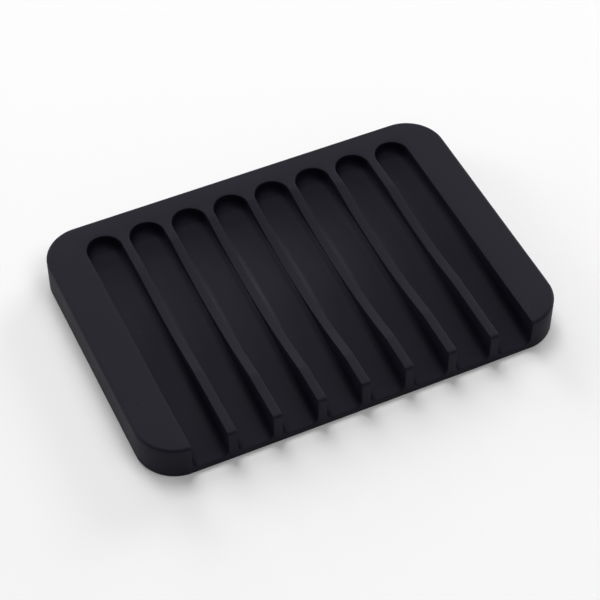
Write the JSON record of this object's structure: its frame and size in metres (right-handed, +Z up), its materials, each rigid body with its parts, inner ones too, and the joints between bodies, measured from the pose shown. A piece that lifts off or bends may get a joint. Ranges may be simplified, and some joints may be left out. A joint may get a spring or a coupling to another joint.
{
  "type": "soap dish",
  "caption": "Low black silicone soap dish: long draining slots slope to an open front edge, and a shallow oval bowl sinks into the ribs between them.",
  "frame": {"origin": "middle of the flat underside", "axes": "+X along the long side and across the slots, +Y towards the slots' closed ends, +Z up"},
  "size_m": [0.115, 0.08, 0.01],
  "materials": {
    "black_silicone": "matt moulded silicone"
  },
  "bodies": {
    "root": {"dish_body": "black_silicone"}
  },
  "joints": []
}
